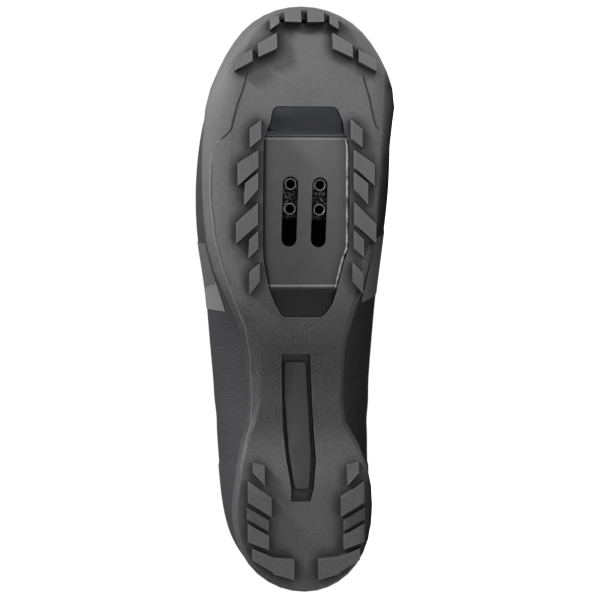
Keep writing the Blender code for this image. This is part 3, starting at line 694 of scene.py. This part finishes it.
# %% [markdown]
# The mould leaves a round fillet where the cleat window and the waist channel meet their floors. It
# catches the light on the inner side of the sole, and on the outer side it gets darkened rubber as
# painted shade. It is laid as a bead, so that the rubber and the plate keep their crisp edges.

# %% Fillets of the window and the channel
WINDOW = (
    # along, outer side, inner side, in millimetres
    (144.7, -17.4, 15.0), (158.0, -19.8, 18.4), (163.7, -20.0, 20.6), (187.6, -20.0, 20.7),
    (211.4, -19.8, 20.7), (215.7, -19.5, 19.8),
)
CHANNEL = (
    # along, outer side, inner side, in millimetres
    (44.8, -6.8, 2.0), (50.6, -6.6, 3.4), (63.4, -8.6, 4.9), (77.8, -10.2, 4.0), (112.6, -11.1, 2.0),
)
FILLET = 0.0007
OUTER, INNER_SIDE = 1, 2
WINDOW_INSET = 0.7
CHANNEL_INSET = 0.5


def fillet(name, rows, column, carrier, inset, slot):
    """Round bead along one side of a hollow, inset millimetres from it, at the height of its floor."""
    points = [(row[0], row[column] - math.copysign(inset, row[column])) for row in rows]
    met = [on_surface(carrier, x / MM, y / MM) for x, y in fill_in(points)]
    return round_cord(name, [place for place, _ in met if place], FILLET, slot)


# Painted shade: the outer fillets get the darkened rubber.
paint_shade(fillet("window_fillet_outer", WINDOW, OUTER, plate, WINDOW_INSET, "rubber"))
fillet("window_fillet_inner", WINDOW, INNER_SIDE, plate, WINDOW_INSET, "nylon")
paint_shade(fillet("channel_fillet_outer", CHANNEL, OUTER, outsole, CHANNEL_INSET, "rubber"))
fillet("channel_fillet_inner", CHANNEL, INNER_SIDE, outsole, CHANNEL_INSET, "rubber")
print("fillets: 4")

# %% [markdown]
# The tread between the lugs is one smooth surface, but it is cut into long triangles, which would
# show in its shading. The surface's own slope is known, so each corner of it gets that direction.

# %% Even shading on the tread
LUG_HEIGHT = 0.0055
TOE_BEND = 0.79
TOE_SPRING = 0.020
ARCH_RISE = 0.0075
ARCH_FRONT = (0.33, 0.46)
ARCH_BACK = (0.17, 0.28)
SLOPE_STEP = 0.0005


def ease(low, high, value):
    """0 below low, 1 above high, and smooth between."""
    share = min(max((value - low) / (high - low), 0.0), 1.0)
    return share * share * (3 - 2 * share)


def tread_height(x):
    """Height of the tread's surface between the lugs, as in the part."""
    beyond = max(0.0, (x / LENGTH - TOE_BEND) / (1 - TOE_BEND))
    arch = ease(*ARCH_BACK, x / LENGTH) * (1 - ease(*ARCH_FRONT, x / LENGTH))
    return TOE_SPRING * beyond**2 + LUG_HEIGHT + ARCH_RISE * arch


def tread_direction(x):
    """Outward direction of the tread at a distance from the heel, in the room."""
    slope = (tread_height(x + SLOPE_STEP) - tread_height(x - SLOPE_STEP)) / (2 * SLOPE_STEP)
    return (TURN @ Vector((slope, 0, -1))).normalized()


def even_out(item, limit, direction):
    """Give corners of faces that lie nearly in a direction that very direction."""
    mesh = item.data
    corners = [Vector(corner.vector) for corner in mesh.corner_normals]
    changed = 0
    for face in mesh.polygons:
        for index in face.loop_indices:
            x = in_shoe(mesh.vertices[mesh.loops[index].vertex_index].co).x
            wanted = direction(x)
            if face.normal.dot(wanted) > limit:
                corners[index] = wanted
                changed += 1
    mesh.normals_split_custom_set(corners)
    return changed


# %% [markdown]
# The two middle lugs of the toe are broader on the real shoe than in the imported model. Their corners
# are moved a little apart in the visible copy, and each one keeps its height over the tread. The
# corners are found by where they lie, in millimetres from the heel and from the middle line.

# %% Broader middle toe lugs
LUG_WIDER = 0.0018
LUG_LONGER = 0.0028
LUG_SPAN = (272.4, 279.6)
LUG_BACK = 275.0
LUG_BREADTH = (0.3, 9.2)
LUG_OUTER_FACE = 7.0
LUG_ROUNDING = 0.0009


def broaden_toe_lugs(item):
    """Widen the middle pair of toe lugs and bring their backs nearer the heel, along the tread."""
    moved = 0
    for vertex in item.data.vertices:
        place = in_shoe(vertex.co)
        x = place.x * MM
        y = abs(place.y) * MM
        on_lug = LUG_SPAN[0] < x < LUG_SPAN[1] and LUG_BREADTH[0] < y < LUG_BREADTH[1]
        if not on_lug or place.z > tread_height(place.x) + LUG_ROUNDING:
            continue
        wider = LUG_WIDER if y > LUG_OUTER_FACE else 0.0
        longer = LUG_LONGER if x < LUG_BACK else 0.0
        lower = tread_height(place.x - longer) - tread_height(place.x)
        vertex.co = spot(place.x - longer, place.y + math.copysign(wider, place.y), place.z + lower)
        moved += 1
    return moved


print("toe lug corners moved:", broaden_toe_lugs(outsole))

# %% [markdown]
# The corrected directions are set last on the sole, because each change of shape would alter them.
# The cleat seat is flat, so all of its corners simply look down.

# %% Even the shading
TREAD_SPREAD = math.cos(math.radians(9))
SEAT_SPREAD = math.cos(math.radians(4))
evened = even_out(outsole, TREAD_SPREAD, tread_direction)
evened += even_out(plate, SEAT_SPREAD, lambda x: -UP)
print("evened corners:", evened)

# %% [markdown]
# Each threaded hole of the nut plate has a ring at its mouth with a painted highlight, and turns of thread
# behind it darkened with painted shade.
# A ring is a torus with three smaller turns behind it, and the four sets are joined. Their places are
# given along the leaning slots from the seat's centre, as the holes are in the imported model.

# %% Threaded rings
HOLE_ROWS = (0.0130, 0.0013)
HOLE_SPACING = 0.014
TURNS = 4
TURN_PITCH = 0.0007
RING_RADIUS = 0.0025
THREAD_RADIUS = 0.0020
RING_WIRE = 0.0002
THREAD_WIRE = 0.0002
lean = Matrix.Rotation(SLOT_LEAN, 3, "Z")
rings = []
for row in HOLE_ROWS:
    for side in (-1, 1):
        middle = SEAT_IN_SHOE + lean @ Vector((row, side * HOLE_SPACING / 2, 0))
        mouth, _ = on_surface(nut_plate, middle.x + RING_RADIUS, middle.y, 0.0)
        for turn in range(TURNS):
            height = in_shoe(mouth).z + turn * TURN_PITCH
            bpy.ops.mesh.primitive_torus_add(
                location=spot(middle.x, middle.y, height),
                rotation=TURN.to_euler(),
                major_radius=THREAD_RADIUS if turn else RING_RADIUS,
                minor_radius=THREAD_WIRE if turn else RING_WIRE,
                major_segments=32,
                minor_segments=8,
            )
            rings.append(bpy.context.object)
bpy.ops.object.select_all(action="DESELECT")
for ring in rings:
    ring.select_set(True)
bpy.context.view_layer.objects.active = rings[0]
bpy.ops.object.join()
threads = bpy.context.object
threads.name = "thread_rings"
bpy.ops.object.transform_apply(location=True, rotation=True, scale=True)
bpy.ops.object.shade_smooth()
hand_over(threads, "steel", "nut_plate")
# The rings carry the steel with a painted highlight and painted shade.
threads.data.materials[0] = FINISHES["steel_highlight_and_shade"]
print("thread rings:", len(rings))

# %% [markdown]
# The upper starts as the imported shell. Subdivision lets it flow, and then soft troughs and ridges
# are pressed into it where a walking foot bends it: across the vamp, and round the ankle. The heel
# counter and the toe cap stand a step proud, and the collar is padded on its inside.

# %% Upper
upper = dress("upper", "upper_shell", "upper_shell", root, 0.0, levels=2)

CREASES = (
    # along, lean towards the heel for each metre across, depth, half width and reach, in metres
    (0.188, 0.25, 0.0009, 0.0035, 0.030),
    (0.200, 0.30, 0.0013, 0.0045, 0.034),
    (0.212, 0.20, 0.0010, 0.0040, 0.030),
    (0.070, -0.30, 0.0008, 0.0050, 0.050),
)
RIDGE_SHARE = 0.5
VAMP_TOP = (0.035, 0.055)
OVERLAY_STEP = 0.0005
COUNTER_EDGE = (0.0590, 0.0602)
CAP_EDGE = (0.2285, 0.2297)
COLLAR_PAD = 0.0022
COLLAR_FRONT = (0.075, 0.110)
COLLAR_FOOT = (0.048, 0.066)
UPPER_MIDDLE = 0.045


def upper_relief(point):
    """How far the upper stands out at a point of the shoe's frame."""
    out = 0.0
    top = ease(*VAMP_TOP, point.z)
    for along, lean, depth, width, reach in CREASES:
        off = point.x - along + lean * abs(point.y)
        across = math.exp(-((point.y / reach) ** 2))
        trough = math.exp(-((off / width) ** 2))
        ridge = math.exp(-(((off - 2 * width) / width) ** 2))
        out += depth * top * across * (RIDGE_SHARE * ridge - trough)
    out += OVERLAY_STEP * (1 - ease(*COUNTER_EDGE, point.x))
    out += OVERLAY_STEP * ease(*CAP_EDGE, point.x)
    return out


normals = [vertex.normal.copy() for vertex in upper.data.vertices]
inside = 0
for vertex, normal in zip(upper.data.vertices, normals):
    place = in_shoe(vertex.co)
    local = BACK_TURN @ normal
    outward = Vector((0, place.y, place.z - UPPER_MIDDLE)).dot(local) > 0
    if outward:
        vertex.co += normal * upper_relief(place)
    else:
        inside += 1
        padded = (1 - ease(*COLLAR_FRONT, place.x)) * ease(*COLLAR_FOOT, place.z)
        vertex.co += normal * COLLAR_PAD * padded
only(upper)
bpy.ops.object.shade_smooth()
print("upper:", len(upper.data.vertices), "vertices,", inside, "inside")

# %% [markdown]
# The tongue is padded, and channels are pressed across it. The straps keep
# crisp edges: a narrow bevel holds each edge while subdivision rounds the rest.

# %% Tongue and straps
TONGUE_PITCH = 0.012
TONGUE_CHANNEL = 0.0007
CHANNEL_SHARE = 0.10
tongue = dress("tongue", "padded_tongue", "lining", root, 0.0006, levels=2)
for vertex, normal in [(v, v.normal.copy()) for v in tongue.data.vertices]:
    place = in_shoe(vertex.co)
    off_channel = (place.x / TONGUE_PITCH) % 1.0 - 0.5
    vertex.co -= normal * TONGUE_CHANNEL * math.exp(-((off_channel / CHANNEL_SHARE) ** 2))
only(tongue)
bpy.ops.object.shade_smooth()
strap_upper = dress("strap_upper", "ankle_strap", "webbing", root, 0.0004, levels=2)
strap_lower = dress("strap_lower", "vamp_strap", "webbing", root, 0.0004, levels=2)

# %% [markdown]
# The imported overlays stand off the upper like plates. In the visible copies each point is brought to
# the nearest place of the upper, and keeps a third of its height over that, as a film does.

# %% Film overlays
FILM_GAP = 0.00008
STANDOFF = 0.0005
THINNING = 0.3


def hug(item, carrier):
    """Bring a stiff overlay close to what carries it, and thin it to a film."""
    for vertex in item.data.vertices:
        _, place, normal, _ = carrier.closest_point_on_mesh(vertex.co)
        away = (vertex.co - place).dot(normal)
        vertex.co = place + normal * (FILM_GAP + max(0.0, away - STANDOFF) * THINNING)


film_outer = dress("overlay_lateral", "film_outer_side", "overlay_film", root, 0.0002, levels=2)
film_inner = dress("overlay_medial", "film_inner_side", "overlay_film", root, 0.0002, levels=2)
for film in (film_outer, film_inner):
    hug(film, upper)
print("films hug the upper:", film_outer.name, film_inner.name)

# %% [markdown]
# Sewn seams hold the heel counter and the toe cap. One stitch is a small rounded bead. It is copied
# along each line, and set on the surface with the line's direction.


# %% Stitches
STITCH = (0.0011, 0.00033, 0.00025)
PITCH = 0.0029
bpy.ops.mesh.primitive_uv_sphere_add(segments=8, ring_count=5, radius=1.0)
knot = bpy.context.object
knot.scale = STITCH
bpy.ops.object.transform_apply(scale=True)


def stitch_row(name, item, sights):
    """Stitches where lines of sight, each from one room point towards another, meet a piece."""
    hits = [item.ray_cast(start, (end - start).normalized()) for start, end in sights]
    path = [(place, normal) for hit, place, normal, _ in hits if hit]
    build = bmesh.new()
    travelled = 0.0
    for (a, normal), (b, _) in zip(path, path[1:]):
        travelled += (b - a).length
        if travelled < PITCH:
            continue
        travelled = 0.0
        ahead = (b - a).normalized()
        side = normal.cross(ahead).normalized()
        place = Matrix((ahead, side, ahead.cross(side))).transposed().to_4x4()
        place.translation = b
        mesh = knot.data.copy()
        mesh.transform(place)
        build.from_mesh(mesh)
        bpy.data.meshes.remove(mesh)
    mesh = bpy.data.meshes.new(name)
    build.to_mesh(mesh)
    build.free()
    row = bpy.data.objects.new(name, mesh)
    bpy.context.scene.collection.objects.link(row)
    only(row)
    bpy.ops.object.shade_smooth()
    hand_over(row, "webbing", root)
    return len(path)


def sight_in(x, height, swing):
    """Line of sight towards the middle of the foot, swung from straight above it to one side."""
    outside = spot(x, FAR * math.sin(swing), height + FAR * math.cos(swing))
    return outside, spot(x, 0, height)


FINE = 120
FAR = 0.12
COUNTER_SEAM = 0.062
COUNTER_FOOT = 0.050
COUNTER_HEIGHT = 0.026
CAP_SEAM = 0.2265
CAP_MIDDLE = 0.04
CAP_SWING = math.radians(78)
for side, word in ((-1, "outer"), (1, "inner")):
    heights = [COUNTER_FOOT + COUNTER_HEIGHT * i / FINE for i in range(FINE)]
    sights = [(spot(COUNTER_SEAM, side * 0.09, z), spot(COUNTER_SEAM, 0, z)) for z in heights]
    print(word, "counter seam points:", stitch_row(f"counter_seam_{word}", upper, sights))
swings = [CAP_SWING * i / (2 * FINE) for i in range(-2 * FINE, 2 * FINE + 1)]
sights = [sight_in(CAP_SEAM, CAP_MIDDLE, swing) for swing in swings]
print("cap seam points:", stitch_row("cap_seam", upper, sights))

# %% [markdown]
# A strap is webbing folded over and sewn along both edges. The lines of sight fan out from the middle
# of the foot over the strap, and lean with it from the throat to its ends.

# %% Stitches on the straps
STRAP_ROWS = (
    # piece, middle over the throat, middle at the ends, in shares of the length
    (strap_upper, 0.400, 0.425),
    (strap_lower, 0.510, 0.560),
)
STRAP_EDGE = 0.0094
STRAP_SWING = math.radians(72)
LEANING_SWING = math.radians(60)
STRAP_MIDDLE = 0.045
for strap, middle, end in STRAP_ROWS:
    for edge in (-STRAP_EDGE, STRAP_EDGE):
        sights = []
        for i in range(-FINE, FINE + 1):
            swing = STRAP_SWING * i / FINE
            share = min(1.0, abs(swing) / LEANING_SWING)
            x = LENGTH * (middle + (end - middle) * share) + edge
            sights.append(sight_in(x, STRAP_MIDDLE, swing))
        name = f"{strap.name}_seam_{'front' if edge > 0 else 'back'}"
        print(name, "points:", stitch_row(name, strap, sights))
bpy.data.objects.remove(knot)
